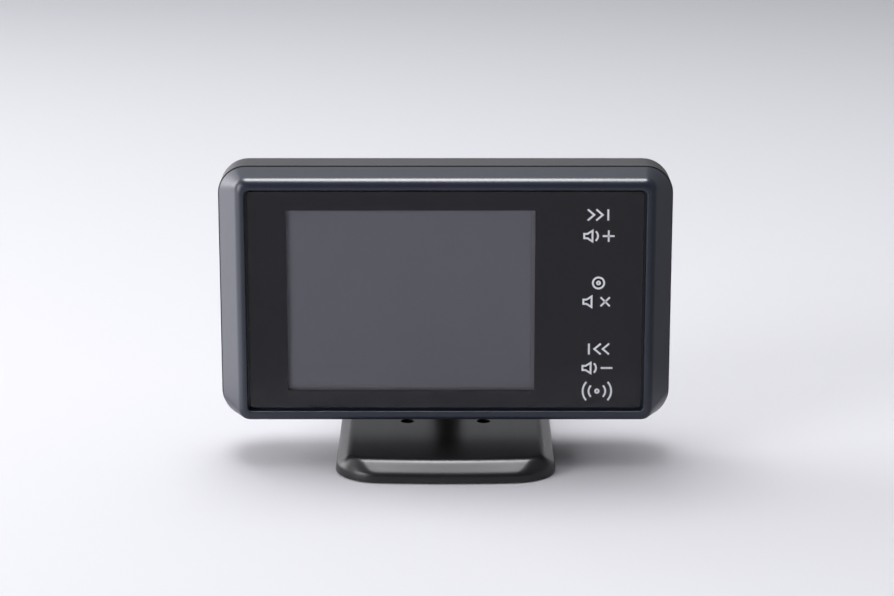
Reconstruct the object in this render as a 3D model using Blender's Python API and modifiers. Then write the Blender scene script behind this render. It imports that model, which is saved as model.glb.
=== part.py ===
"""Dashboard radar detector on a ball-jointed stand: a display head of separate shells and electronics.

World frame: origin at the middle of the stand's underside, +Z up, the screen faces -Y, metres.
Head frame: an empty on the middle of the bezel's front plane, +Y runs back into the head.
Every dimension below is in millimetres; MM turns it into metres.
"""

import math

import bmesh
import bpy
from mathutils import Matrix, Vector

MM = 0.001
GAP = 0.3

# Stand and its place under the head
BASE_WIDTH = 44.8
BASE_DEPTH = 55.6
BASE_TOP = 4.4
BASE_SIDE_TOP = 2.15
BASE_BOTTOM = 0.15
BASE_DRAFT = 0.2
BASE_SLOPE = 2.7
BASE_BOW = 1.3
BASE_CORNER = (8.5, 9.5)
BASE_TOP_CORNER = 2.2
PAD_THICKNESS = 0.85
PAD_INSET = 1.6
FIXING_HOLE_X = 8.0
FIXING_HOLE_Y = 0.9
FIXING_HOLE_RADIUS = 1.4
BALL_Y = 16.9
BALL_Z = 30.0
BALL_RADIUS = 4.5
NECK_RADIUS = 3.25
NECK_TOP = 23.5

# Head: the bezel's front outline, the seam with the rear cover, and the back
HEAD_Y = -16.1
HEAD_Z = 34.85
FRONT_HALF = (41.6, 24.85)
FRONT_CORNER = 1.8
FRONT_FILLET = 1.8
SEAM_HALF = (46.0, 26.35)
SEAM_CORNER = 5.75
SEAM_Y = 6.5
SEAM_ROUND = 0.3
ROUND_START_Y = 14.4
BACK_Y = 23.0
BACK_INSET = (10.0, 9.7)
COVER_WALL = 1.8

# Screen stack, measured back from the front plane
GLASS_Z = -0.15
OPENING_HALF = (40.2, 22.95)
GLASS_HALF = (39.85, 22.6)
GLASS_Y = (0.2, 1.4)
TAPE_Y = (1.5, 1.8)
SHELF_Y = (1.9, 3.1)
SHELF_HALF = (38.3, 21.8)
LCD_X = (-34.2, 26.06)
LCD_Z = (-21.63, 21.09)
LCD_Y = (2.1, 3.4)
BACKLIGHT_Y = (3.6, 5.2)
BOARD_HALF = (42.0, 23.0)
BOARD_Y = (7.6, 8.8)
ON_BOARD_Y = BOARD_Y[1] + GAP

# Case screws
POST_X = 38.5
POST_Z = 20.0
SCREW_FLOOR_Y = 12.5

# Dovetail between the head and the bracket
TONGUE_HALF = 9.0
TONGUE_Y = (23.3, 25.4)
TONGUE_Z = (-5.3, 6.6)
RAIL_OUTER = 11.5
LIP_INNER = 6.4
LIP_Y = (25.7, 27.0)
RAIL_Z = (-5.3, 8.8)

# Pieces on the board
SPEAKER_X = -26.0
LASER_X = 23.6
LASER_Z = 8.0
JACK_X = 31.0
JACK_Z = -8.0
PLUG_X = 20.6
PLUG_Z = -9.0
CARD_Y = 11.05
CARD_Z = 6.0
SWITCH_Y = 11.1
SWITCH_Z = -9.0

ROUND = 24


def clear_scene():
    for obj in list(bpy.data.objects):
        bpy.data.objects.remove(obj, do_unlink=True)


def collection(name):
    made = bpy.data.collections.new(name)
    bpy.context.scene.collection.children.link(made)
    return made


def material(name, colour, roughness, metallic=0.0):
    made = bpy.data.materials.new(name)
    made.use_nodes = True
    shader = made.node_tree.nodes["Principled BSDF"]
    shader.inputs["Base Color"].default_value = (*colour, 1.0)
    shader.inputs["Roughness"].default_value = roughness
    shader.inputs["Metallic"].default_value = metallic
    made.diffuse_color = (*colour, 1.0)
    return made


clear_scene()
PARTS = collection("radar_detector")
CUTTERS = collection("cutters")

GUNMETAL = material("gunmetal_paint", (0.035, 0.042, 0.062), 0.38, 0.4)
BLACK = material("black_plastic", (0.016, 0.016, 0.018), 0.5)
STAND_BLACK = material("stand_plastic", (0.014, 0.013, 0.014), 0.32)
GLASS = material("cover_glass", (0.01, 0.01, 0.012), 0.08)
LCD_GREY = material("lcd_grey", (0.09, 0.09, 0.11), 0.25)
WHITE = material("white_plastic", (0.75, 0.75, 0.72), 0.5)
BOARD_GREEN = material("board_green", (0.02, 0.12, 0.05), 0.45)
STEEL = material("steel", (0.55, 0.55, 0.56), 0.3, 1.0)
DIE_CAST = material("die_cast", (0.42, 0.42, 0.43), 0.5, 1.0)
CERAMIC = material("ceramic", (0.62, 0.57, 0.47), 0.55)
FOAM = material("foam_tape", (0.02, 0.02, 0.02), 0.9)
AMBER = material("polyimide", (0.42, 0.2, 0.03), 0.4)
PAPER = material("speaker_paper", (0.03, 0.03, 0.03), 0.85)
DARK_RED = material("laser_filter", (0.03, 0.004, 0.008), 0.12)


def empty(name, location, parent=None):
    made = bpy.data.objects.new(name, None)
    made.empty_display_size = 5 * MM
    made.location = Vector(location) * MM
    made.parent = parent
    PARTS.objects.link(made)
    return made


def add_object(name, mesh, look, location=(0, 0, 0), parent=None):
    """A part when it has a material, and a hidden cutter when it has none."""
    made = bpy.data.objects.new(name, mesh)
    made.location = Vector(location) * MM
    made.parent = parent
    if look is None:
        CUTTERS.objects.link(made)
        made.hide_render = True
        made.display_type = "WIRE"
        return made
    PARTS.objects.link(made)
    mesh.materials.clear()
    mesh.materials.append(look)
    mesh.shade_smooth()
    mesh.set_sharp_from_angle(angle=math.radians(35))
    return made


def finish_mesh(name, bm):
    """Millimetres in, a mesh in metres with its faces turned outwards out."""
    bmesh.ops.scale(bm, vec=(MM, MM, MM), verts=bm.verts)
    bmesh.ops.recalc_face_normals(bm, faces=bm.faces)
    mesh = bpy.data.meshes.new(name)
    bm.to_mesh(mesh)
    bm.free()
    return mesh


def box(name, x, y, z, look=None, parent=None, at=(0, 0, 0)):
    """A block between two values on each axis."""
    return boxes(name, [(x, y, z)], look, parent, at)


def boxes(name, blocks, look=None, parent=None, at=(0, 0, 0)):
    bm = bmesh.new()
    for x, y, z in blocks:
        middle = Vector(((x[0] + x[1]) / 2, (y[0] + y[1]) / 2, (z[0] + z[1]) / 2))
        size = (abs(x[1] - x[0]), abs(y[1] - y[0]), abs(z[1] - z[0]), 1)
        matrix = Matrix.Translation(middle) @ Matrix.Diagonal(size)
        bmesh.ops.create_cube(bm, size=1, matrix=matrix)
    return add_object(name, finish_mesh(name, bm), look, at, parent)


def rods(name, centres, radius, y, look=None, parent=None, steps=20):
    """Round bars along Y, one at each (x, z)."""
    bm = bmesh.new()
    length = y[1] - y[0]
    for x, z in centres:
        place = Matrix.Translation((x, (y[0] + y[1]) / 2, z))
        turn = Matrix.Rotation(math.pi / 2, 4, "X")
        bmesh.ops.create_cone(
            bm,
            cap_ends=True,
            segments=steps,
            radius1=radius,
            radius2=radius,
            depth=length,
            matrix=place @ turn,
        )
    return add_object(name, finish_mesh(name, bm), look, (0, 0, 0), parent)


def rounded_outline(half_x, half_z, radius, steps=6):
    """Points round a rectangle with rounded corners, from the right side anticlockwise."""
    points = []
    corners = ((1, 1, 0), (-1, 1, 90), (-1, -1, 180), (1, -1, 270))
    for sign_x, sign_z, start in corners:
        centre_x = sign_x * (half_x - radius)
        centre_z = sign_z * (half_z - radius)
        for step in range(steps + 1):
            angle = math.radians(start + 90 * step / steps)
            points.append((centre_x + radius * math.cos(angle), centre_z + radius * math.sin(angle)))
    return points


def loft(name, rings, look=None, parent=None, at=(0, 0, 0)):
    """A closed skin through rings of points, capped at both ends."""
    bm = bmesh.new()
    layers = [[bm.verts.new(point) for point in ring] for ring in rings]
    count = len(layers[0])
    for lower, upper in zip(layers, layers[1:]):
        for i in range(count):
            j = (i + 1) % count
            bm.faces.new((lower[i], lower[j], upper[j], upper[i]))
    bm.faces.new(layers[0])
    bm.faces.new(layers[-1])
    return add_object(name, finish_mesh(name, bm), look, at, parent)


def slab(name, half, radius, y, look=None, parent=None, centre=(0, 0), edge=0.0, steps=4):
    """A rounded plate facing the screen side, its edges broken by a small chamfer."""
    levels = [(y[0], edge), (y[0] + edge, 0), (y[1] - edge, 0), (y[1], edge)]
    if edge == 0:
        levels = [(y[0], 0), (y[1], 0)]
    rings = []
    for depth, inset in levels:
        outline = rounded_outline(half[0] - inset, half[1] - inset, radius, steps)
        rings.append([(x + centre[0], depth, z + centre[1]) for x, z in outline])
    return loft(name, rings, look, parent)


def turned(name, profile, look=None, parent=None, at=(0, 0, 0), steps=ROUND, along_y=False):
    """A profile of (radius, height) spun about Z, from its top down the outer side.

    It is open where both ends lie on the axis, and closed round a bore.
    """
    on_axis = profile[0][0] == 0 and profile[-1][0] == 0
    count = len(profile)
    edges = [(i, i + 1) for i in range(count - 1)]
    if not on_axis:
        edges.append((count - 1, 0))
    mesh = bpy.data.meshes.new(name)
    mesh.from_pydata([(r * MM, 0, z * MM) for r, z in profile], edges, [])
    made = add_object(name, mesh, look, at, parent)
    if along_y:
        made.rotation_euler = (-math.pi / 2, 0, 0)
    screw = made.modifiers.new("Screw", "SCREW")
    screw.steps = steps
    screw.render_steps = steps
    screw.use_merge_vertices = True
    screw.merge_threshold = 0.000001
    screw.use_smooth_shade = True
    return made


def boolean(target, other, operation):
    modifier = target.modifiers.new(other.name, "BOOLEAN")
    modifier.operation = operation
    modifier.solver = "EXACT"
    modifier.object = other
    return target


def cut(target, other):
    return boolean(target, other, "DIFFERENCE")


def join(target, other):
    return boolean(target, other, "UNION")


def baked_mesh(obj):
    """The evaluated mesh of an object, so that its copies can share it."""
    graph = bpy.context.evaluated_depsgraph_get()
    return bpy.data.meshes.new_from_object(obj.evaluated_get(graph), depsgraph=graph)


def arc(radius, start, end, steps, centre=(0.0, 0.0)):
    """Points (radius, height) on a circle, with angles in degrees up from the horizontal."""
    points = []
    for step in range(steps + 1):
        angle = math.radians(start + (end - start) * step / steps)
        points.append((centre[0] + radius * math.cos(angle), centre[1] + radius * math.sin(angle)))
    return points


# ---------------------------------------------------------------- head shells


def front_inset(y, axis):
    """How far the bezel's side lies inside its sharp front outline at depth y, negative outside."""
    slope = math.atan((SEAM_HALF[axis] - FRONT_HALF[axis]) / SEAM_Y)
    turn = math.pi / 2 - slope
    if y < FRONT_FILLET * (1 - math.cos(turn)):
        reach = FRONT_FILLET * math.tan(turn / 2)
        return reach - math.sqrt(FRONT_FILLET**2 - (FRONT_FILLET - y) ** 2)
    return -y * math.tan(slope)


def bezel_ring(y, inset=0.0, steps=8):
    share = y / SEAM_Y
    half = [FRONT_HALF[axis] - front_inset(y, axis) - inset for axis in (0, 1)]
    radius = FRONT_CORNER + (SEAM_CORNER - FRONT_CORNER) * share - inset
    return [(x, y, z) for x, z in rounded_outline(*half, radius, steps)]


def cover_ring(y, inset=0.0, steps=8):
    """The rear cover's outline: straight sides, then a quarter ellipse in to the back."""
    u = max(0.0, (y - ROUND_START_Y) / (BACK_Y - ROUND_START_Y))
    fall = 1 - math.sqrt(max(0.0, 1 - u * u))
    half = [SEAM_HALF[axis] - BACK_INSET[axis] * fall - inset for axis in (0, 1)]
    return [(x, y, z) for x, z in rounded_outline(*half, SEAM_CORNER - inset, steps)]


def post_centres():
    return [(sx * POST_X, sz * POST_Z) for sx in (-1, 1) for sz in (-1, 1)]


def front_bezel(head):
    fillet_steps = [FRONT_FILLET * (1 - math.cos(math.radians(a))) for a in (0, 20, 40, 58, 74)]
    depths = fillet_steps + [SEAM_Y - GAP / 2 - SEAM_ROUND]
    rings = [bezel_ring(y) for y in depths]
    rings.append(bezel_ring(SEAM_Y - GAP / 2, SEAM_ROUND))
    bezel = loft("front_bezel", rings, GUNMETAL, head)
    cavity = [(SHELF_Y[1], (42.0, 24.1)), (SEAM_Y, (44.5, 25.2)), (SEAM_Y + 2, (46.0, 25.8))]
    hollow = [
        [(x, y, z) for x, z in rounded_outline(*half, SEAM_CORNER - COVER_WALL, 6)] for y, half in cavity
    ]
    cut(bezel, loft("bezel_hollow", hollow, None, head))
    opening = (-2.0, SHELF_Y[0])
    cut(bezel, slab("glass_recess", OPENING_HALF, 1.0, opening, None, head, (0, GLASS_Z)))
    shelf = (SHELF_Y[0] - 0.5, SHELF_Y[1] + 0.5)
    cut(bezel, slab("shelf_opening", SHELF_HALF, 1.0, shelf, None, head, (0, GLASS_Z)))
    join(bezel, rods("bezel_posts", post_centres(), 3.0, (2.4, BOARD_Y[0] - 0.2), None, head))
    cut(bezel, rods("pilot_holes", post_centres(), 1.45, (3.9, BOARD_Y[0] + 1), None, head))
    return bezel


def cover_hollow(head):
    """The space inside the rear cover, less the four screw posts."""
    inner = [SEAM_Y - 1, ROUND_START_Y]
    inner += [ROUND_START_Y + (BACK_Y - COVER_WALL - ROUND_START_Y) * s for s in (0.4, 0.7, 0.9, 1.0)]
    hollow = loft("cover_hollow", [cover_ring(y, COVER_WALL) for y in inner], None, head)
    posts = rods("cover_posts", post_centres(), 3.9, (ON_BOARD_Y, BACK_Y + 2), None, head)
    return cut(hollow, posts)


def dovetail_rails(head):
    """Two L-shaped rails and the stop that carries the head on the bracket's tongue."""
    blocks = []
    for side in (-1, 1):
        wall = sorted((side * (TONGUE_HALF + GAP), side * RAIL_OUTER))
        lip = sorted((side * LIP_INNER, side * RAIL_OUTER))
        blocks.append((wall, (BACK_Y - 1, LIP_Y[1] - 0.5), RAIL_Z))
        blocks.append((lip, LIP_Y, RAIL_Z))
    stop_z = (TONGUE_Z[1] + GAP, RAIL_Z[1])
    rails = box("rail_stop", (-RAIL_OUTER, RAIL_OUTER), (BACK_Y - 1, LIP_Y[1]), stop_z, None, head)
    for index, block in enumerate(blocks):
        join(rails, box(f"rail_{index}", *block, None, head))
    return rails


def rear_cover(head):
    start = SEAM_Y + GAP / 2
    rings = [cover_ring(start, SEAM_ROUND), cover_ring(start + SEAM_ROUND), cover_ring(ROUND_START_Y)]
    for angle in (18, 34, 50, 64, 77, 90):
        depth = (BACK_Y - ROUND_START_Y) * math.sin(math.radians(angle))
        rings.append(cover_ring(ROUND_START_Y + depth))
    cover = loft("rear_cover", rings, BLACK, head)
    cut(cover, cover_hollow(head))
    join(cover, dovetail_rails(head))
    through = (BACK_Y - 5, BACK_Y + 2)
    cut(cover, rods("screw_wells", post_centres(), 2.6, (SCREW_FLOOR_Y, BACK_Y + 2), None, head))
    cut(cover, rods("screw_holes", post_centres(), 1.5, (ON_BOARD_Y - 1, SCREW_FLOOR_Y + 1), None, head))
    slots = [(SPEAKER_X + 2.4 * i, 6.5 * math.sqrt(1 - (i / 3.6) ** 2)) for i in range(-3, 4)]
    grille = [((x - 0.6, x + 0.6), through, (-h, h)) for x, h in slots]
    cut(cover, boxes("speaker_slots", grille, None, head))
    cut(cover, slab("laser_opening", (5.6, 3.6), 1.0, through, None, head, (LASER_X, LASER_Z)))
    cut(cover, rods("jack_opening", [(JACK_X, JACK_Z)], 3.6, through, None, head))
    cut(cover, rods("plug_opening", [(PLUG_X, PLUG_Z)], 2.5, through, None, head))
    card_slot = ((43.0, 48.0), (CARD_Y - 0.9, CARD_Y + 0.9), (CARD_Z - 6.2, CARD_Z + 6.2))
    cut(cover, box("card_slot", *card_slot, None, head))
    switch_slot = ((-48.0, -43.0), (SWITCH_Y - 1.0, SWITCH_Y + 1.0), (SWITCH_Z - 1.6, SWITCH_Z + 3.6))
    cut(cover, box("switch_slot", *switch_slot, None, head))
    return cover


def case_screws(head):
    """Four pan-head screws that hold the rear cover and the board to the bezel."""
    top = SCREW_FLOOR_Y + 1.9
    profile = [(0, top), (1.5, top), (2.2, top - 0.6), (2.2, SCREW_FLOOR_Y + GAP)]
    profile += [(1.15, SCREW_FLOOR_Y + GAP), (1.15, 5.0), (0, 4.2)]
    pattern = turned("screw_pattern", profile, STEEL, None, steps=20, along_y=True)
    for name, size in (("recess_wide", (1.1, 0.3)), ("recess_tall", (0.3, 1.1))):
        spans = [(-half, half) for half in size]
        cut(pattern, box(name, spans[0], (top - 0.7, top + 1), spans[1]))
    mesh = baked_mesh(pattern)
    bpy.data.objects.remove(pattern, do_unlink=True)
    names = ("lower_left", "upper_left", "lower_right", "upper_right")
    for name, (x, z) in zip(names, post_centres()):
        screw = add_object("case_screw_" + name, mesh, STEEL, (x, 0, z), head)
        screw.rotation_euler = (-math.pi / 2, 0, 0)


# --------------------------------------------------------------- screen stack


def screen_stack(head):
    slab("cover_glass", GLASS_HALF, 0.8, GLASS_Y, GLASS, head, (0, GLASS_Z), edge=0.15)
    tape_half = (GLASS_HALF[0] - 0.05, GLASS_HALF[1] - 0.05)
    tape = slab("glass_tape", tape_half, 0.8, TAPE_Y, FOAM, head, (0, GLASS_Z))
    inside = (TAPE_Y[0] - 1, TAPE_Y[1] + 1)
    cut(tape, slab("tape_opening", (38.5, 22.0), 0.8, inside, None, head, (0, GLASS_Z)))
    slab("touch_key_film", (5.5, 20.8), 0.5, (1.5, 1.7), AMBER, head, (32.5, GLASS_Z))
    middle = ((LCD_X[0] + LCD_X[1]) / 2, (LCD_Z[0] + LCD_Z[1]) / 2)
    half = ((LCD_X[1] - LCD_X[0]) / 2, (LCD_Z[1] - LCD_Z[0]) / 2)
    slab("lcd_panel", half, 0.3, LCD_Y, LCD_GREY, head, middle)
    slab("lcd_backlight", half, 0.5, BACKLIGHT_Y, WHITE, head, middle)
    lcd_flex(head)


def lcd_flex(head):
    """The ribbon that folds from the panel's end back to the front of the board."""
    bend = [(27.2 + r, z) for r, z in arc(2.1, 90, -90, 8)]
    bend = [(x, 5.0 - z) for x, z in bend]
    path = [(26.4, 2.9)] + bend + [(21.0, 7.1)]
    bm = bmesh.new()
    rows = [[bm.verts.new((x, y, z)) for x, y in path] for z in (-9.0, 9.0)]
    for i in range(len(path) - 1):
        bm.faces.new((rows[0][i], rows[0][i + 1], rows[1][i + 1], rows[1][i]))
    flex = add_object("lcd_flex", finish_mesh("lcd_flex", bm), AMBER, (0, 0, 0), head)
    solid = flex.modifiers.new("Solidify", "SOLIDIFY")
    solid.thickness = 0.16 * MM
    solid.offset = 0


# ---------------------------------------------------------- board and antennas


def main_board(head):
    board = slab("main_board", BOARD_HALF, 2.0, BOARD_Y, BOARD_GREEN, head)
    through = (BOARD_Y[0] - 1, BOARD_Y[1] + 1)
    cut(board, rods("board_holes", post_centres(), 1.6, through, None, head))
    shield = (ON_BOARD_Y, ON_BOARD_Y + 2.4)
    slab("processor_shield", (14.0, 6.0), 0.8, shield, STEEL, head, (0, -14.0), edge=0.3)
    rods("backup_cell", [(19.5, 17.0)], 3.4, (ON_BOARD_Y, ON_BOARD_Y + 2.1), STEEL, head)
    antennas(head)


def antennas(head):
    """A ceramic patch facing the sky and a flared horn facing the road ahead."""
    patch = boxes(
        "gps_patch_antenna",
        [((-5.5, 5.5), (ON_BOARD_Y, ON_BOARD_Y + 11.0), (12.6, 16.4))],
        CERAMIC,
        head,
    )
    join(patch, box("patch_plate", (-4.3, 4.3), (10.3, 18.9), (16.2, 16.7), None, head))
    mouth = ON_BOARD_Y + 11.0
    horn = box("horn_antenna", (-13.0, 13.0), (ON_BOARD_Y, mouth), (-6.0, 10.0), DIE_CAST, head)
    flare = []
    corners = ((1, 1), (-1, 1), (-1, -1), (1, -1))
    throat = (ON_BOARD_Y + 2.5, 4.0, 2.5)
    for depth, half_x, half_z in (throat, (mouth - 1.5, 11.6, 6.6), (mouth + 1, 11.6, 6.6)):
        flare.append([(sx * half_x, depth, 2.0 + sz * half_z) for sx, sz in corners])
    cut(horn, loft("horn_flare", flare, None, head))


def speaker(head):
    """A small loudspeaker behind the slots: steel basket, paper cone and magnet."""
    at = (SPEAKER_X, 0, 0)
    basket = [(9.0, 20.6), (9.0, 19.4), (5.4, 15.6), (2.0, 15.6)]
    basket += [(2.0, 16.4), (5.0, 16.4), (8.0, 19.8), (8.0, 20.6)]
    turned("speaker_basket", basket, STEEL, head, at, along_y=True)
    cone = [(0, 18.3), (1.8, 17.8), (4.2, 17.8), (6.9, 20.5)]
    cone += [(7.6, 20.5), (7.6, 20.1), (4.5, 17.2), (0, 17.2)]
    turned("speaker_cone", cone, PAPER, head, at, along_y=True)
    magnet = [(0, 15.2), (4.6, 15.2), (5.0, 14.8), (5.0, 12.4), (4.6, 12.0), (0, 12.0)]
    turned("speaker_magnet", magnet, DIE_CAST, head, at, along_y=True)


def laser_receiver(head):
    window = slab("laser_window", (5.3, 3.3), 0.9, (19.8, BACK_Y - 0.1), DARK_RED, head, (LASER_X, LASER_Z))
    flange = (BACK_Y - COVER_WALL - GAP - 0.9, BACK_Y - COVER_WALL - GAP)
    join(window, slab("window_flange", (6.6, 4.6), 0.9, flange, None, head, (LASER_X, LASER_Z)))
    sensor = boxes(
        "laser_sensor",
        [((LASER_X - 3.3, LASER_X + 3.3), (ON_BOARD_Y, 16.4), (LASER_Z - 3.0, LASER_Z + 3.0))],
        BLACK,
        head,
    )
    lens = [(0, 18.6)] + arc(2.3, 75, 0, 4, (0, 16.3)) + [(2.3, 15.8), (0, 15.8)]
    join(sensor, turned("sensor_lens", lens, None, head, (LASER_X, 0, LASER_Z), 20, along_y=True))


def jacks(head):
    """The power jack with its centre pin, and a smaller jack for options."""
    depth = (ON_BOARD_Y, BACK_Y - COVER_WALL - GAP)
    spans = [(JACK_X - 4.4, JACK_X + 4.4), depth, (JACK_Z - 4.2, JACK_Z + 4.2)]
    power = box("power_jack", *spans, BLACK, head)
    bore = (depth[1] - 9, depth[1] + 1)
    cut(power, rods("jack_bore", [(JACK_X, JACK_Z)], 2.8, bore, None, head))
    join(power, rods("jack_pin", [(JACK_X, JACK_Z)], 0.8, (bore[0] - 1, depth[1] - 1), None, head, 12))
    spans = [(PLUG_X - 3.0, PLUG_X + 3.0), depth, (PLUG_Z - 3.0, PLUG_Z + 3.0)]
    option = box("option_jack", *spans, BLACK, head)
    cut(option, rods("plug_bore", [(PLUG_X, PLUG_Z)], 1.8, bore, None, head, 20))


def memory_card(head):
    """A card and its holder, open at the right-hand side wall."""
    spans = [(28.2, 42.9), (ON_BOARD_Y, 12.4), (CARD_Z - 6.9, CARD_Z + 6.9)]
    holder = box("card_socket", *spans, STEEL, head)
    bore = [(29.0, 44.0), (CARD_Y - 0.8, CARD_Y + 0.8), (CARD_Z - 5.9, CARD_Z + 5.9)]
    cut(holder, box("socket_bore", *bore, None, head))
    at = (37.4, CARD_Y, CARD_Z)
    card = box("memory_card", (-7.5, 7.5), (-0.4, 0.4), (-5.5, 5.5), BLACK, head, at)
    cut(card, box("card_notch", (-8.0, 2.0), (-1, 1), (4.6, 6.0), None, head, at))


def power_switch(head):
    spans = [(-43.4, -38.2), (ON_BOARD_Y, 13.1), (SWITCH_Z - 4.0, SWITCH_Z + 6.0)]
    body = box("power_switch_body", *spans, STEEL, head)
    track = [(-45.0, -41.2), (SWITCH_Y - 1.0, SWITCH_Y + 1.0), (SWITCH_Z - 1.7, SWITCH_Z + 3.7)]
    cut(body, box("switch_track", *track, None, head))
    at = (-43.7, SWITCH_Y, SWITCH_Z)
    knob = box("power_switch_knob", (-2.2, 2.2), (-0.7, 0.7), (-1.3, 1.3), BLACK, head, at)
    grooves = [((-2.5, -1.9), (-1, 1), (z - 0.15, z + 0.15)) for z in (-0.7, 0.0, 0.7)]
    cut(knob, boxes("knob_grooves", grooves, None, head, at))


# ----------------------------------------------------------------------- stand


def base_ring(z, inset, rise=0.0, steps=10):
    """The base's outline, bowed at the front; rise leads from wide lower corners to tight top ones."""
    half_x = BASE_WIDTH / 2 - inset
    half_y = BASE_DEPTH / 2 - inset
    corner_x = (BASE_CORNER[0] - inset * 0.6) * (1 - rise) + BASE_TOP_CORNER * rise
    corner_y = (BASE_CORNER[1] - inset * 0.6) * (1 - rise) + BASE_TOP_CORNER * rise
    points = []
    for sign_x, sign_y, start in ((1, 1, 0), (-1, 1, 90), (-1, -1, 180), (1, -1, 270)):
        for step in range(steps + 1):
            angle = math.radians(start + 90 * step / steps)
            x = sign_x * (half_x - corner_x) + corner_x * math.cos(angle)
            y = sign_y * (half_y - corner_y) + corner_y * math.sin(angle)
            points.append((x, y))
        if sign_x < 0 and sign_y < 0:
            reach = half_x - corner_x
            points += [(-reach + 2 * reach * i / 8, -half_y) for i in range(1, 8)]
    ring = []
    for x, y in points:
        forward = max(0.0, -y / half_y) ** 6
        ring.append((x, y + BASE_BOW * forward * (x / half_x) ** 2, z))
    return ring


def stand_base(stand):
    top = BASE_DRAFT + BASE_SLOPE
    levels = [
        (BASE_BOTTOM, 0.25, 0.0),
        (BASE_BOTTOM + 0.3, 0.05, 0.0),
        (BASE_SIDE_TOP - 0.4, BASE_DRAFT, 0.0),
        (BASE_SIDE_TOP, BASE_DRAFT + 0.25, 0.1),
        (BASE_SIDE_TOP + 0.45, BASE_DRAFT + 0.7, 0.28),
        (BASE_TOP - 0.25, top - 0.3, 0.9),
        (BASE_TOP, top + 0.15, 1.0),
    ]
    base = loft("stand_base", [base_ring(*level) for level in levels], STAND_BLACK, stand)
    pad_room = (PAD_THICKNESS + GAP, PAD_INSET - GAP)
    pocket = [base_ring(z, pad_room[1], 0.0, 4) for z in (-1.0, pad_room[0])]
    cut(base, loft("pad_pocket", pocket, None, stand))
    holes = []
    for x in (-FIXING_HOLE_X, FIXING_HOLE_X):
        hole = [(0, 6), (FIXING_HOLE_RADIUS, 6), (FIXING_HOLE_RADIUS, 0.5), (0, 0.5)]
        holes.append(turned("fixing_hole", hole, None, stand, (x, FIXING_HOLE_Y, 0), 20))
    holes.append(box("key_pocket", (-3.0, 3.0), (-3.0, 3.0), (3.7, 6.0), None, stand, (0, BALL_Y, 0)))
    well = [(0, 5), (1.6, 5), (1.6, 2.6), (3.0, 2.6), (3.0, 0), (0, 0)]
    holes.append(turned("screw_well", well, None, stand, (0, BALL_Y, 0), 24))
    for hole in holes:
        cut(base, hole)
    pad = [base_ring(z, PAD_INSET, 0.0, 4) for z in (0.0, PAD_THICKNESS)]
    loft("base_pad", pad, FOAM, stand)


def neck(stand):
    """The upright that carries the ball, keyed into the base and held by one screw."""
    foot = BASE_TOP + GAP
    profile = [(NECK_RADIUS - 0.5, NECK_TOP), (NECK_RADIUS, NECK_TOP - 0.5), (NECK_RADIUS, foot + 4.2)]
    fillet = [(5.6 - r, z) for r, z in arc(2.35, 0, 72, 5)]
    profile += [(r, foot + 4.2 - z) for r, z in fillet]
    profile += [(5.7, foot + 0.9), (5.7, foot), (1.6, foot), (1.6, foot + 6.0), (1.9, foot + 7.2)]
    profile += [(1.9, NECK_TOP)]
    post = turned("stand_neck", profile, STAND_BLACK, stand, (0, BALL_Y, 0))
    key = box("neck_key", (-2.7, 2.7), (-2.7, 2.7), (4.0, foot + 0.5), None, stand, (0, BALL_Y, 0))
    hole = [(0, 7), (1.6, 7), (1.6, 3), (0, 3)]
    cut(key, turned("key_hole", hole, None, stand, (0, BALL_Y, 0)))
    join(post, key)
    screw = [(0, 10.0), (1.25, 9.2), (1.25, 2.3), (2.6, 2.3), (2.6, 1.7), (2.2, 1.35), (0, 1.35)]
    turned("neck_screw", screw, STEEL, stand, (0, BALL_Y, 0), 20)


def ball_joint(joint):
    """Heights are from the ball's centre; the head turns about that centre."""
    below = math.degrees(math.asin(2.3 / BALL_RADIUS)) - 90
    ball = [(0, BALL_RADIUS)] + arc(BALL_RADIUS, 78, below, 9)
    ball += [(2.3, -6.2), (1.55, -6.2), (1.55, -11.6), (0, -11.6)]
    turned("ball_stud", ball, STEEL, joint)
    seat = [(4.8, -0.3), (5.8, -0.3), (5.8, -3.5), (5.3, -4.8), (4.75, -4.8)] + arc(4.8, -38.5, -4, 6)
    turned("ball_seat", seat, WHITE, joint)
    nut = [(7.2, -1.5), (8.7, -1.5), (9.2, -2.0), (9.2, -7.5), (8.7, -8.0)]
    nut += [(6.2, -8.0), (5.0, -5.4), (7.2, -5.4)]
    ring = turned("lock_nut", nut, STAND_BLACK, joint, steps=40)
    flutes = bmesh.new()
    for index in range(10):
        angle = 2 * math.pi * (index + 0.5) / 10
        place = Matrix.Translation((10.1 * math.cos(angle), 10.1 * math.sin(angle), -4.75))
        bmesh.ops.create_cone(
            flutes, cap_ends=True, segments=12, radius1=1.5, radius2=1.5, depth=12, matrix=place
        )
    cut(ring, add_object("nut_flutes", finish_mesh("nut_flutes", flutes), None, (0, 0, 0), joint))


def mount_bracket(joint, head):
    """The socket over the ball and the tongue that the head slides down on."""
    dome = [(0, 8.2), (4.6, 8.2), (6.2, 7.5), (6.9, 6.0), (6.9, -5.0), (0, -5.0)]
    bracket = turned("mount_bracket", dome, STAND_BLACK, joint, steps=32)
    tongue = (TONGUE_HALF, (TONGUE_Z[1] - TONGUE_Z[0]) / 2)
    middle = (TONGUE_Z[0] + TONGUE_Z[1]) / 2
    join(bracket, slab("tongue", tongue, 1.5, TONGUE_Y, None, head, (0, middle)))
    web_y = (TONGUE_Y[1] - 0.5, 32.0)
    join(bracket, box("bracket_web", (-5.6, 5.6), web_y, (TONGUE_Z[0], 2.4), None, head))
    cavity = [(0, 4.8)] + arc(4.8, 78, 4, 6) + [(6.1, 0.3), (6.1, -7), (0, -7)]
    cut(bracket, turned("ball_cavity", cavity, None, joint))


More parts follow.
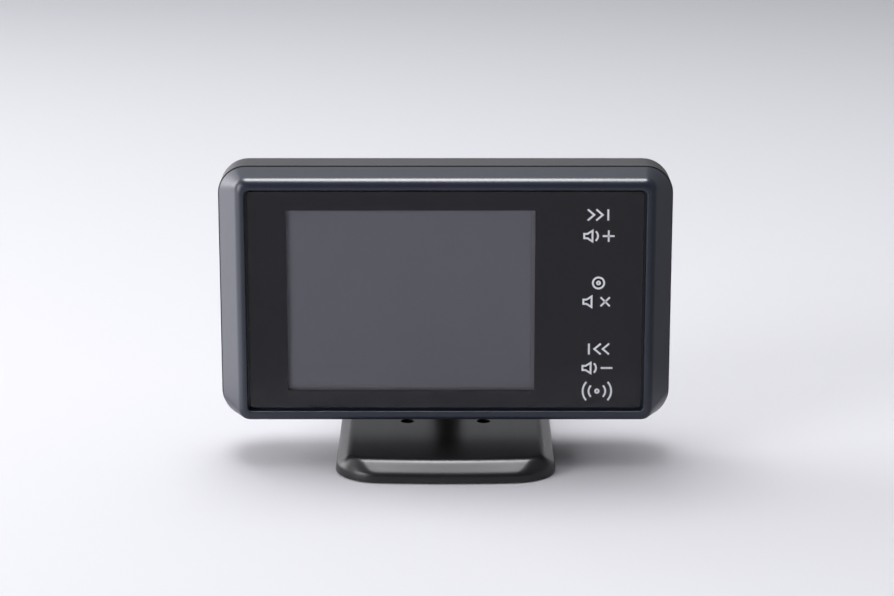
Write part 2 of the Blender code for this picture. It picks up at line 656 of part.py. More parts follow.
def build():
    stand = empty("stand", (0, 0, 0))
    joint = empty("ball_centre", (0, BALL_Y, BALL_Z), stand)
    head = empty("head", (0, HEAD_Y - BALL_Y, HEAD_Z - BALL_Z), joint)
    stand_base(stand)
    neck(stand)
    ball_joint(joint)
    mount_bracket(joint, head)
    front_bezel(head)
    rear_cover(head)
    case_screws(head)
    screen_stack(head)
    main_board(head)
    speaker(head)
    laser_receiver(head)
    jacks(head)
    memory_card(head)
    power_switch(head)


build()
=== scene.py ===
"""Looks of the radar detector: fine shells, materials, floor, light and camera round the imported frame.

Lengths are written in millimetres and turned into metres by MM. Head-local points run from the middle
of the bezel's front plane: x to the right, y back into the head, z up. Lamps, cards, floor and camera
are placed in metres.
"""

import math

import bmesh
import bpy
from mathutils import Matrix, Vector


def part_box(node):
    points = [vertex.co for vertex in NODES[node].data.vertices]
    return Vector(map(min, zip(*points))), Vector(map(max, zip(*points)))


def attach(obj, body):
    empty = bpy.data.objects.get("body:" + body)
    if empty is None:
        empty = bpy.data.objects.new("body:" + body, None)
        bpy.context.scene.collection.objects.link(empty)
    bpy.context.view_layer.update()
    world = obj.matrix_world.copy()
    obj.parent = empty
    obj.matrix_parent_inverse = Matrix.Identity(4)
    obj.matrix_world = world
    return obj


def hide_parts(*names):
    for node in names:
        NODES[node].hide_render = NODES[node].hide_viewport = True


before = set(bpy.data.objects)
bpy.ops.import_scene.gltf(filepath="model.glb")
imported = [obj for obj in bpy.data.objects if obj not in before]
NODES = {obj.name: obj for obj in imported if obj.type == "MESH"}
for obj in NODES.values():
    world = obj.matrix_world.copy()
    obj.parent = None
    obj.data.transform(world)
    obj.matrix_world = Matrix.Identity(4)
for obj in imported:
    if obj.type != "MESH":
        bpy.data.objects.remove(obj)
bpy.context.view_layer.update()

MM = 0.001
bezel_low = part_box("front_bezel")[0]
cover_low, cover_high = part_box("rear_cover")
base_low, base_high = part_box("stand_base")
neck_low, neck_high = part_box("stand_neck")
ball_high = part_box("ball_stud")[1]

# ------------------------------------------------------------------ dimensions
HEAD = Vector((0.0, bezel_low.y, (cover_low.z + cover_high.z) / 2))
BALL_RADIUS = 4.5
BALL = Vector((0.0, (neck_low.y + neck_high.y) / 2, ball_high.z - BALL_RADIUS * MM))

# Bezel: half sizes are (x, z); y runs from the bezel's front plane to the back.
FRONT_HALF = (41.6, 24.85)
FRONT_CORNER = 1.8
FRONT_FILLET = 1.95
LOWER_FILLET = 0.95
RIM_HALF = (42.0, 24.1)
RIM_CORNER = 3.95

# Seam between bezel and cover, with the bezel's shoulder and tongue closing it from inside.
SEAM_HALF = ((cover_high.x - cover_low.x) / 2 / MM, (cover_high.z - cover_low.z) / 2 / MM)
SEAM_CORNER = 5.75
SEAM_Y = 7.3
SEAM_GAP = 0.95
SEAM_ROUND = 0.06
SHOULDER_HALF = (45.3, 25.65)
SHOULDER_CORNER = 5.05
SHOULDER_CLEARANCE = 0.1
TONGUE = 1.7
TONGUE_HALF = (43.95, 24.35)
TONGUE_CORNER = 3.8
TONGUE_INSIDE_HALF = (43.3, 23.75)
TONGUE_INSIDE_CORNER = 3.1

# Rear cover.
ROUND_START_Y = 14.4
BACK_Y = 23.0
BACK_INSET = (10.0, 9.7)
WALL = 1.8
SCREW_PLACES = [(x, z) for x in (-38.5, 38.5) for z in (-20.0, 20.0)]
POST_RADIUS = 3.9
POST_Y = (9.1, 18.2)
WELL_RADIUS = 2.6
WELL_START_Y = 12.5
SCREW_HOLE_RADIUS = 1.5
SCREW_HOLE_Y = (8.0, 13.0)
RAIL_Z = (-5.3, 8.8)
RAIL_OUTER_X = 11.5
RAIL_INNER_X = 9.3
RAIL_BACK_Y = 27.0
RAIL_WALL_BACK_Y = 26.5
LIP_INNER_X = 6.4
LIP_FRONT_Y = 25.7
STOP_BOTTOM_Z = 6.9
SPEAKER_X = -26.0
SPEAKER_SLOT_PITCH = 2.4
SPEAKER_SLOT_HALF = 6.5
LASER_PLACE = (23.6, 8.0)
LASER_HALF = (5.6, 3.6)
POWER_JACK_PLACE = (31.0, -8.0)
POWER_JACK_RADIUS = 3.6
OPTION_JACK_PLACE = (20.6, -9.0)
OPTION_JACK_RADIUS = 2.5
CARD_SLOT = ((43.0, 48.0), (10.15, 11.95), (-0.2, 12.2))
SWITCH_SLOT = ((-48.0, -43.0), (10.1, 12.1), (-10.6, -5.4))

# Glass, its printed window and marks, and the display behind it.
GLASS_Z = -0.15
OPENING_HALF = (40.2, 22.95)
OPENING_CORNER = 1.0
SHELF_HALF = (38.3, 21.8)
SHELF_Y = (1.9, 3.1)
GLASS_HALF = (39.72, 22.47)
GLASS_CORNER = 0.8
PRINT_Y = (1.26, 1.4)
PRINT_INSET = 0.02
WINDOW_HALF = (25.0, 18.75)
WINDOW_CENTRE = (-7.0, -0.27)
WINDOW_CORNER = 0.15
KEY_X = 30.8
KEY_LINE = 0.38
KEY_Y = (1.215, 1.235)
LCD_PITCH = 0.153
LCD_Y = (1.98, 2.08)
DISPLAY_X = (-33.2, 17.25)
DISPLAY_Z = (-18.3, 19.6)
SEAL_RIGHT = 18.6
SEAL_BOTTOM = -19.5
SEAL_JOINT = 0.04

# Stand.
BASE_GROW = 0.05
BASE_HALF = (
    (base_high.x - base_low.x) / 2 / MM + BASE_GROW,
    (base_high.y - base_low.y) / 2 / MM + BASE_GROW,
)
BASE_CORNER = (8.5, 9.5)
BASE_TOP_CORNER = 2.8
BASE_BOW = 1.3
BASE_HOLE_X = 8.0
BASE_HOLE_Y = 0.9
NUT_FLUTES = 10
NUT_RIBS = 60
NUT_RADIUS = 9.1
SOCKET_RADIUS = 6.9
SOCKET_ROUND = 2.0
SOCKET_Z = (-5.0, 8.2)
CAVITY_RADIUS = 4.8
HANGER_HALF_X = 9.0
HANGER_Y = (23.3, 25.4)
HANGER_Z = (-5.3, 6.6)
WEB_HALF_X = 5.6
WEB_BACK_Y = 32.0
WEB_TOP_Z = 2.4

# Camera, with its elevation in degrees and its distance in metres.
VIEW_ELEVATION = 14.62
VIEW_DISTANCE = 0.5197
VIEW_LENS = 104.06
VIEW_SHIFT = Vector((0.3, 0.0, 0.75)) * MM


# ----------------------------------------------------------------- mesh helpers
def link(name, mesh, body, look, replaces=()):
    """Adds a finished piece: it rides on a body, has one material, and may stand for CAD nodes."""
    made = bpy.data.objects.new(name, mesh)
    bpy.context.scene.collection.objects.link(made)
    mesh.materials.clear()
    mesh.materials.append(look)
    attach(made, body)
    if replaces:
        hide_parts(*replaces)
    return made


def mesh_from(name, bm, origin=Vector((0, 0, 0)), sharp=32):
    """Millimetres round a frame point in, a smooth-shaded mesh in metres out."""
    bmesh.ops.scale(bm, vec=(MM, MM, MM), verts=bm.verts)
    bmesh.ops.translate(bm, vec=origin, verts=bm.verts)
    bmesh.ops.recalc_face_normals(bm, faces=bm.faces)
    mesh = bpy.data.meshes.new(name)
    bm.to_mesh(mesh)
    bm.free()
    mesh.shade_smooth()
    mesh.set_sharp_from_angle(angle=math.radians(sharp))
    return mesh


def outline(half_x, half_z, radius, steps, centre):
    """Points round a rectangle with rounded corners, anticlockwise from the right side."""
    points = []
    for sign_x, sign_z, start in ((1, 1, 0), (-1, 1, 90), (-1, -1, 180), (1, -1, 270)):
        corner_x = centre[0] + sign_x * (half_x - radius)
        corner_z = centre[1] + sign_z * (half_z - radius)
        for step in range(steps + 1):
            angle = math.radians(start + 90 * step / steps)
            points.append((corner_x + radius * math.cos(angle), corner_z + radius * math.sin(angle)))
    return points


def ring_at(y, half, radius, steps=14, centre=(0.0, 0.0)):
    """A rounded rectangle standing at depth y."""
    return [(x, y, z) for x, z in outline(half[0], half[1], radius, steps, centre)]


def loft(rings, closed_tube=False):
    """Skins rings of equal length; a tube joins its last ring to its first, else both ends are capped."""
    bm = bmesh.new()
    layers = [[bm.verts.new(point) for point in ring] for ring in rings]
    count = len(layers[0])
    pairs = list(zip(layers, layers[1:]))
    if closed_tube:
        pairs.append((layers[-1], layers[0]))
    for lower, upper in pairs:
        for i in range(count):
            j = (i + 1) % count
            bm.faces.new((lower[i], lower[j], upper[j], upper[i]))
    if not closed_tube:
        bm.faces.new(layers[0])
        bm.faces.new(layers[-1])
    return bm


def turned(profile, steps=64, centre=(0.0, 0.0)):
    """A closed solid of revolution about Z from (radius, height) points; radius 0 is a point on the axis."""
    bm = bmesh.new()
    layers = []
    for radius, height in profile:
        if radius == 0:
            layers.append([bm.verts.new((centre[0], centre[1], height))])
            continue
        layer = []
        for i in range(steps):
            angle = 2 * math.pi * i / steps
            x = centre[0] + radius * math.cos(angle)
            y = centre[1] + radius * math.sin(angle)
            layer.append(bm.verts.new((x, y, height)))
        layers.append(layer)
    pairs = list(zip(layers, layers[1:]))
    if profile[0][0] != 0:
        pairs.append((layers[-1], layers[0]))
    for first, second in pairs:
        if len(first) == 1 and len(second) == 1:
            continue
        for i in range(steps):
            j = (i + 1) % steps
            if len(first) == 1:
                bm.faces.new((first[0], second[i], second[j]))
            elif len(second) == 1:
                bm.faces.new((first[i], first[j], second[0]))
            else:
                bm.faces.new((first[i], first[j], second[j], second[i]))
    return bm


def block(x, y, z):
    """A box between two values on each axis."""
    bm = bmesh.new()
    middle = Vector(((x[0] + x[1]) / 2, (y[0] + y[1]) / 2, (z[0] + z[1]) / 2))
    size = (abs(x[1] - x[0]), abs(y[1] - y[0]), abs(z[1] - z[0]), 1)
    bmesh.ops.create_cube(bm, size=1, matrix=Matrix.Translation(middle) @ Matrix.Diagonal(size))
    return bm


def rod_y(x, z, radius, y, steps=48):
    """A round bar along Y."""
    bm = bmesh.new()
    place = Matrix.Translation((x, (y[0] + y[1]) / 2, z)) @ Matrix.Rotation(math.pi / 2, 4, "X")
    bmesh.ops.create_cone(
        bm, cap_ends=True, segments=steps, radius1=radius, radius2=radius, depth=y[1] - y[0], matrix=place
    )
    return bm


def carve(mesh, origin, tools):
    """Cuts or joins each (operation, bmesh) into a mesh and returns the finished mesh."""
    body = bpy.data.objects.new("carved", mesh)
    bpy.context.scene.collection.objects.link(body)
    helpers = []
    for operation, bm in tools:
        helper = bpy.data.objects.new("tool", mesh_from("tool", bm, origin))
        bpy.context.scene.collection.objects.link(helper)
        helpers.append(helper)
        modifier = body.modifiers.new("carve", "BOOLEAN")
        modifier.operation = operation
        modifier.solver = "EXACT"
        modifier.object = helper
    graph = bpy.context.evaluated_depsgraph_get()
    done = bpy.data.meshes.new_from_object(body.evaluated_get(graph), depsgraph=graph)
    for obj in [body] + helpers:
        bpy.data.objects.remove(obj, do_unlink=True)
    return done


def soften(obj, width, segments=2, angle=32):
    """A small real round on every sharp edge, with flat faces kept flat in the shading."""
    bevel = obj.modifiers.new("edges", "BEVEL")
    bevel.width = width * MM
    bevel.segments = segments
    bevel.limit_method = "ANGLE"
    bevel.angle_limit = math.radians(angle)
    flat_faces(obj)
    return obj


def flat_faces(obj):
    """Keeps flat faces flat in the shading."""
    weighted = obj.modifiers.new("flat_faces", "WEIGHTED_NORMAL")
    weighted.mode = "FACE_AREA"
    weighted.keep_sharp = True
    weighted.weight = 80
    return obj


# -------------------------------------------------------------------- materials
class Look:
    """A small wrapper round a material's node tree."""

    def __init__(self, name):
        self.material = bpy.data.materials.new(name)
        self.material.use_nodes = True
        self.tree = self.material.node_tree
        self.shader = self.tree.nodes["Principled BSDF"]
        self.coordinates = self.tree.nodes.new("ShaderNodeTexCoord")

    def node(self, kind, **settings):
        """Adds a node and sets its properties."""
        made = self.tree.nodes.new(kind)
        for key, value in settings.items():
            setattr(made, key, value)
        return made

    def wire(self, source, target):
        self.tree.links.new(source, target)

    def noise(self, scale, detail=3.0, roughness=0.55, stretch=(1, 1, 1)):
        """A noise value from 0 to 1; scale counts features per metre."""
        mapping = self.node("ShaderNodeMapping")
        mapping.inputs["Scale"].default_value = stretch
        self.wire(self.coordinates.outputs["Object"], mapping.inputs["Vector"])
        made = self.node("ShaderNodeTexNoise")
        made.inputs["Scale"].default_value = scale
        made.inputs["Detail"].default_value = detail
        made.inputs["Roughness"].default_value = roughness
        self.wire(mapping.outputs["Vector"], made.inputs["Vector"])
        return made.outputs["Fac"]

    def ramp(self, source, stops):
        """stops: (position, value or colour) pairs."""
        made = self.node("ShaderNodeValToRGB")
        elements = made.color_ramp.elements
        while len(elements) < len(stops):
            elements.new(0.5)
        for element, (position, value) in zip(elements, stops):
            colour = value if isinstance(value, tuple) else (value, value, value)
            element.position = position
            element.color = (*colour, 1.0)
        self.wire(source, made.inputs["Fac"])
        return made.outputs["Color"]

    def span(self, source, low, high):
        """Maps 0..1 to low..high."""
        made = self.node("ShaderNodeMapRange")
        made.inputs["To Min"].default_value = low
        made.inputs["To Max"].default_value = high
        self.wire(source, made.inputs["Value"])
        return made.outputs["Result"]

    def mix(self, factor, first, second):
        """Mixes two colours, each a tuple or a socket."""
        made = self.node("ShaderNodeMix", data_type="RGBA")
        for index, value in ((6, first), (7, second)):
            if isinstance(value, tuple):
                made.inputs[index].default_value = (*value, 1.0)
            else:
                self.wire(value, made.inputs[index])
        if isinstance(factor, (int, float)):
            made.inputs[0].default_value = factor
        else:
            self.wire(factor, made.inputs[0])
        return made.outputs[2]

    def bump(self, height, depth):
        """depth is the relief's height in millimetres."""
        made = self.node("ShaderNodeBump")
        made.inputs["Strength"].default_value = 1.0
        made.inputs["Distance"].default_value = depth * MM
        self.wire(height, made.inputs["Height"])
        return made.outputs["Normal"]

    def set(self, socket, value):
        """Gives one of the shader's inputs a number, a colour or another node's output."""
        target = self.shader.inputs[socket]
        if isinstance(value, (int, float)):
            target.default_value = value
        elif isinstance(value, tuple):
            target.default_value = (*value, 1.0)
        else:
            self.wire(value, target)


def moulded(name, dark, light, roughness, grain, depth):
    """Moulded or printed surface: cloudy colour, uneven gloss, and a fine grain depth millimetres high."""
    look = Look(name)
    clouds = look.noise(90.0, 4.0)
    specks = look.noise(grain, 2.0, 0.6)
    look.set("Base Color", look.mix(look.ramp(clouds, [(0.35, 0.0), (0.65, 1.0)]), dark, light))
    look.set("Roughness", look.span(clouds, roughness - 0.04, roughness + 0.04))
    look.set("Normal", look.bump(specks, depth))
    return look.material


def metal(name, dark, light, roughness, stretch=(1, 1, 1), scale=900.0):
    """Bare metal with fine brushed or cast grain."""
    look = Look(name)
    grain = look.noise(scale, 3.0, 0.6, stretch)
    clouds = look.noise(140.0, 3.0)
    look.set("Base Color", look.mix(clouds, dark, light))
    look.set("Metallic", 1.0)
    look.set("Roughness", look.span(grain, roughness - 0.07, roughness + 0.08))
    look.set("Normal", look.bump(grain, 0.003))
    return look.material


def bezel_paint():
    """Dark blue-grey satin paint with a very fine metal flake."""
    look = Look("bezel_paint")
    flake = look.node("ShaderNodeTexVoronoi")
    flake.inputs["Scale"].default_value = 9000.0
    look.wire(look.coordinates.outputs["Object"], flake.inputs["Vector"])
    clouds = look.noise(60.0, 4.0)
    patches = look.ramp(clouds, [(0.3, 0.0), (0.7, 1.0)])
    paint = look.mix(patches, (0.011, 0.015, 0.029), (0.014, 0.018, 0.034))
    sparkle = look.span(flake.outputs["Color"], 0.0, 0.2)
    look.set("Base Color", look.mix(sparkle, paint, (0.045, 0.05, 0.075)))
    look.set("Roughness", look.span(look.noise(400.0, 3.0), 0.3, 0.36))
    look.set("IOR", 1.5)
    look.set("Normal", look.bump(look.noise(2200.0, 2.0), 0.0015))
    return look.material


def stand_plastic():
    """Satin black moulding with a faint swirl from the tool's polish."""
    look = Look("stand_black")
    clouds = look.noise(70.0, 4.0)
    polish = look.noise(260.0, 3.0, 0.6, (1.0, 0.12, 1.0))
    look.set("Base Color", look.mix(clouds, (0.011, 0.010, 0.011), (0.018, 0.017, 0.018)))
    look.set("Roughness", look.span(polish, 0.25, 0.34))
    look.set("Specular IOR Level", 0.42)
    look.set("Normal", look.bump(look.noise(3000.0, 2.0), 0.0008))
    return look.material


def clear_glass():
    """A clear sheet with faint uneven tint; the print and display behind it carry its gloss."""
    look = Look("clear_sheet")
    look.tree.nodes.remove(look.shader)
    output = look.tree.nodes["Material Output"]
    through = look.node("ShaderNodeBsdfTransparent")
    smears = look.noise(55.0, 5.0, 0.65, (1.0, 1.0, 0.45))
    look.wire(look.mix(smears, (0.93, 0.93, 0.94), (0.96, 0.96, 0.97)), through.inputs["Color"])
    look.wire(through.outputs["BSDF"], output.inputs["Surface"])
    return look.material


def lcd_surface():
    """The unlit display: a dark grey polariser over rows of colour cells."""
    look = Look("lcd_surface")
    cells = look.node("ShaderNodeTexBrick")
    cells.offset = 0.0
    cells.inputs["Scale"].default_value = 1.0 / (LCD_PITCH * MM)
    cells.inputs["Brick Width"].default_value = 1.0
    cells.inputs["Row Height"].default_value = 1.0
    cells.inputs["Mortar Size"].default_value = 0.06
    cells.inputs["Color1"].default_value = (0.131, 0.131, 0.150, 1.0)
    cells.inputs["Color2"].default_value = (0.138, 0.138, 0.157, 1.0)
    cells.inputs["Mortar"].default_value = (0.118, 0.118, 0.134, 1.0)
    turn = look.node("ShaderNodeMapping")
    turn.inputs["Rotation"].default_value = (math.pi / 2, 0, 0)
    look.wire(look.coordinates.outputs["Object"], turn.inputs["Vector"])
    look.wire(turn.outputs["Vector"], cells.inputs["Vector"])
    look.set("Base Color", cells.outputs["Color"])
    look.set("Roughness", look.span(look.noise(55.0, 5.0, 0.65, (1.0, 1.0, 0.45)), 0.1, 0.2))
    return look.material


def black_print():
    """Black ink on the back of the cover sheet, seen with the sheet's gloss."""
    look = Look("black_print")
    cloud = look.noise(300.0, 4.0)
    smears = look.noise(55.0, 5.0, 0.65, (1.0, 1.0, 0.45))
    look.set("Base Color", look.mix(cloud, (0.0052, 0.0046, 0.0074), (0.0066, 0.006, 0.0088)))
    look.set("Roughness", look.span(smears, 0.1, 0.2))
    look.set("IOR", 1.5)
    return look.material


LOOKS = {
    "bezel": bezel_paint(),
    "case": moulded("case_black", (0.030, 0.029, 0.032), (0.036, 0.035, 0.038), 0.5, 2400.0, 0.012),
    "stand": stand_plastic(),
    "clear": clear_glass(),
    "print": black_print(),
    "legend": moulded("white_print", (0.93, 0.93, 0.93), (0.96, 0.96, 0.96), 0.6, 1800.0, 0.001),
    "lcd": lcd_surface(),
    "lcd_rim": moulded("lcd_rim", (0.045, 0.045, 0.05), (0.055, 0.055, 0.06), 0.4, 1500.0, 0.001),
    "seal": moulded("lcd_seal", (0.138, 0.130, 0.142), (0.146, 0.138, 0.150), 0.45, 1500.0, 0.001),
    "foam": moulded("foam_pad", (0.014, 0.014, 0.014), (0.03, 0.03, 0.03), 0.9, 1400.0, 0.05),
    "film": moulded("amber_film", (0.36, 0.16, 0.02), (0.46, 0.22, 0.04), 0.3, 700.0, 0.002),
    "white": moulded("white_plastic", (0.68, 0.68, 0.64), (0.76, 0.76, 0.73), 0.45, 2000.0, 0.006),
    "board": moulded("solder_mask", (0.010, 0.075, 0.030), (0.018, 0.12, 0.05), 0.32, 1200.0, 0.008),
    "tin": metal("tin_plate", (0.50, 0.50, 0.50), (0.62, 0.62, 0.61), 0.32),
    "cast": metal("die_cast", (0.34, 0.34, 0.35), (0.46, 0.46, 0.46), 0.52, scale=1600.0),
    "screw": metal("dark_zinc", (0.16, 0.16, 0.17), (0.26, 0.26, 0.27), 0.34, (1, 1, 6)),
    "chrome": metal("polished_steel", (0.62, 0.62, 0.62), (0.70, 0.70, 0.70), 0.14),
    "ceramic": moulded("patch_ceramic", (0.52, 0.47, 0.38), (0.64, 0.59, 0.50), 0.6, 900.0, 0.01),
    "paper": moulded("cone_paper", (0.018, 0.018, 0.018), (0.034, 0.033, 0.031), 0.85, 1500.0, 0.03),
    "filter": moulded("laser_filter", (0.016, 0.002, 0.004), (0.024, 0.003, 0.006), 0.12, 600.0, 0.0005),
}


# ------------------------------------------------------------------- head shells
def bezel_inset(y, axis, fillet=FRONT_FILLET):
    """How far the bezel's side lies inside its sharp front outline at depth y, negative outside."""
    slope = math.atan((SEAM_HALF[axis] - FRONT_HALF[axis]) / SEAM_Y)
    turn = math.pi / 2 - slope
    if y < fillet * (1 - math.cos(turn)):
        reach = fillet * math.tan(turn / 2)
        return reach - math.sqrt(fillet**2 - (fillet - y) ** 2)
    return -y * math.tan(slope)


def bezel_ring(y, inset=0.0):
    """The bezel's outline at depth y; its lower front edge is rounded less than the others."""
    half_x = FRONT_HALF[0] - bezel_inset(y, 0) - inset
    top = FRONT_HALF[1] - bezel_inset(y, 1) - inset
    bottom = FRONT_HALF[1] - bezel_inset(y, 1, LOWER_FILLET) - inset
    radius = FRONT_CORNER + (SEAM_CORNER - FRONT_CORNER) * y / SEAM_Y - inset
    return ring_at(y, (half_x, (top + bottom) / 2), radius, centre=(0, (top - bottom) / 2))


def bezel_shell():
    """The painted frame: slopes, rounded front edge, glass shelf, and a tongue that closes the seam."""
    end = SEAM_Y - SEAM_GAP / 2
    shoulder_end = end + SEAM_GAP - SHOULDER_CLEARANCE
    rings = []
    for degrees in (90, 60, 30, 0):
        angle = math.radians(degrees)
        depth = end - SEAM_ROUND + SEAM_ROUND * math.sin(angle)
        rings.append(bezel_ring(depth, SEAM_ROUND * (1 - math.cos(angle))))
    for depth in (4.6, 3.0, 1.8):
        rings.append(bezel_ring(depth))
    for step in range(12):
        angle = math.radians(74 * (1 - step / 11))
        rings.append(bezel_ring(FRONT_FILLET * (1 - math.cos(angle))))
    lip = 0.22
    for degrees in (0, 30, 60, 90):
        angle = math.radians(degrees)
        grow = lip * (1 - math.sin(angle))
        depth = lip * (1 - math.cos(angle))
        half = (OPENING_HALF[0] + grow, OPENING_HALF[1] + grow)
        rings.append(ring_at(depth, half, OPENING_CORNER + grow, centre=(0, GLASS_Z)))
    rings.append(ring_at(SHELF_Y[0], OPENING_HALF, OPENING_CORNER, centre=(0, GLASS_Z)))
    rings.append(ring_at(SHELF_Y[0], SHELF_HALF, OPENING_CORNER, centre=(0, GLASS_Z)))
    rings.append(ring_at(SHELF_Y[1], SHELF_HALF, OPENING_CORNER, centre=(0, GLASS_Z)))
    rings.append(ring_at(SHELF_Y[1], RIM_HALF, RIM_CORNER))
    rings.append(ring_at(end + TONGUE, TONGUE_INSIDE_HALF, TONGUE_INSIDE_CORNER))
    rings.append(ring_at(end + TONGUE, TONGUE_HALF, TONGUE_CORNER))
    rings.append(ring_at(shoulder_end, TONGUE_HALF, TONGUE_CORNER))
    rings.append(ring_at(shoulder_end, SHOULDER_HALF, SHOULDER_CORNER))
    rings.append(ring_at(end, SHOULDER_HALF, SHOULDER_CORNER))
    mesh = mesh_from("bezel_shell", loft(rings, closed_tube=True), HEAD, 40)
    return flat_faces(link("bezel_shell", mesh, "head", LOOKS["bezel"], ["front_bezel"]))


def cover_ring(y, inset=0.0):
    """The rear cover's outline at depth y, drawn in along a quarter ellipse towards the back."""
    u = min(1.0, max(0.0, (y - ROUND_START_Y) / (BACK_Y - ROUND_START_Y)))
    fall = 1 - math.sqrt(max(0.0, 1 - u * u))
    half = [SEAM_HALF[axis] - BACK_INSET[axis] * fall - inset for axis in (0, 1)]
    return ring_at(y, half, SEAM_CORNER - inset)


def rear_shell():
    """The rear cover: straight sides, a rounded back, and the openings that the frame has."""
    start = SEAM_Y + SEAM_GAP / 2
    rings = []
    for degrees in (90, 60, 30, 0):
        angle = math.radians(degrees)
        depth = start + SEAM_ROUND * (1 - math.sin(angle))
        rings.append(cover_ring(depth, SEAM_ROUND * (1 - math.cos(angle))))
    rings.append(cover_ring(ROUND_START_Y))
    for step in range(1, 15):
        angle = math.pi / 2 * step / 14
        rings.append(cover_ring(ROUND_START_Y + (BACK_Y - ROUND_START_Y) * math.sin(angle)))
    solid = mesh_from("rear_shell", loft(rings), HEAD)
    hollow = [cover_ring(start - 1.0, WALL), cover_ring(ROUND_START_Y, WALL)]
    for share in (0.4, 0.7, 0.9, 1.0):
        hollow.append(cover_ring(ROUND_START_Y + (BACK_Y - WALL - ROUND_START_Y) * share, WALL))
    tools = [("DIFFERENCE", loft(hollow))] + screw_wells() + dovetail_rails() + cover_openings()
    mesh = carve(solid, HEAD, tools)
    mesh.set_sharp_from_angle(angle=math.radians(35))
    return soften(link("rear_shell", mesh, "head", LOOKS["case"], ["rear_cover"]), 0.22)


def screw_wells():
    """Four posts inside the cover, each with a well for the screw's head and a hole for its shank."""
    tools = []
    for x, z in SCREW_PLACES:
        tools.append(("UNION", rod_y(x, z, POST_RADIUS, POST_Y)))
        tools.append(("DIFFERENCE", rod_y(x, z, WELL_RADIUS, (WELL_START_Y, BACK_Y + 2))))
        tools.append(("DIFFERENCE", rod_y(x, z, SCREW_HOLE_RADIUS, SCREW_HOLE_Y, 24)))
    return tools


def dovetail_rails():
    """Two undercut rails and a stop above them, for the bracket's tongue."""
    tools = []
    for side in (-1, 1):
        wall = sorted((side * RAIL_INNER_X, side * RAIL_OUTER_X))
        lip = sorted((side * LIP_INNER_X, side * RAIL_OUTER_X))
        tools.append(("UNION", block(wall, (BACK_Y - 1, RAIL_WALL_BACK_Y), RAIL_Z)))
        tools.append(("UNION", block(lip, (LIP_FRONT_Y, RAIL_BACK_Y), RAIL_Z)))
    stop_z = (STOP_BOTTOM_Z, RAIL_Z[1])
    stop = block((-RAIL_OUTER_X, RAIL_OUTER_X), (BACK_Y - 1, RAIL_BACK_Y), stop_z)
    tools.append(("UNION", stop))
    return tools


def cover_openings():
    """The speaker's slots, the laser window's opening, both jacks, the card slot and the switch slot."""
    through = (BACK_Y - 5, BACK_Y + 2)
    tools = []
    for i in range(-3, 4):
        x = SPEAKER_X + SPEAKER_SLOT_PITCH * i
        height = SPEAKER_SLOT_HALF * math.sqrt(1 - (i / 3.6) ** 2)
        slot = [ring_at(y, (0.6, height), 0.55, 5, (x, 0.0)) for y in through]
        tools.append(("DIFFERENCE", loft(slot)))
    window = [ring_at(y, LASER_HALF, 1.0, 6, LASER_PLACE) for y in through]
    tools.append(("DIFFERENCE", loft(window)))
    tools.append(("DIFFERENCE", rod_y(*POWER_JACK_PLACE, POWER_JACK_RADIUS, through)))
    tools.append(("DIFFERENCE", rod_y(*OPTION_JACK_PLACE, OPTION_JACK_RADIUS, through)))
    tools.append(("DIFFERENCE", block(*CARD_SLOT)))
    tools.append(("DIFFERENCE", block(*SWITCH_SLOT)))
    return tools


# ------------------------------------------------------------------- glass front
def front_glass():
    """The clear sheet, and the black print behind it with its window."""
    rings = []
    for y, inset in ((0.2, 0.15), (0.24, 0.05), (0.35, 0.0), (1.15, 0.0), (1.2, 0.05)):
        half = (GLASS_HALF[0] - inset, GLASS_HALF[1] - inset)
        rings.append(ring_at(y, half, GLASS_CORNER, centre=(0, GLASS_Z)))
    sheet = mesh_from("clear_sheet", loft(rings), HEAD, 25)
    link("clear_sheet", sheet, "head", LOOKS["clear"], ["cover_glass"])
    print_half = (GLASS_HALF[0] - PRINT_INSET, GLASS_HALF[1] - PRINT_INSET)
    outer = [ring_at(y, print_half, GLASS_CORNER, centre=(0, GLASS_Z)) for y in PRINT_Y]
    inner = [ring_at(y, WINDOW_HALF, WINDOW_CORNER, centre=WINDOW_CENTRE) for y in reversed(PRINT_Y)]
    mask = mesh_from("black_print", loft(outer + inner, closed_tube=True), HEAD)
    link("black_print", mask, "head", LOOKS["print"])


def display():
    """The display's active area, and the seal strips along its right side and its lower edge."""
    right = (DISPLAY_X[1] + SEAL_JOINT, SEAL_RIGHT)
    below = (SEAL_BOTTOM, DISPLAY_Z[0] - SEAL_JOINT)
    parts = {
        "display_area": ("lcd", DISPLAY_X, DISPLAY_Z),
        "display_seal": ("seal", right, DISPLAY_Z),
        "display_edge": ("seal", (DISPLAY_X[0], SEAL_RIGHT), below),
    }
    for name, (look, x, z) in parts.items():
        link(name, mesh_from(name, block(x, LCD_Y, z), HEAD), "head", LOOKS[look])


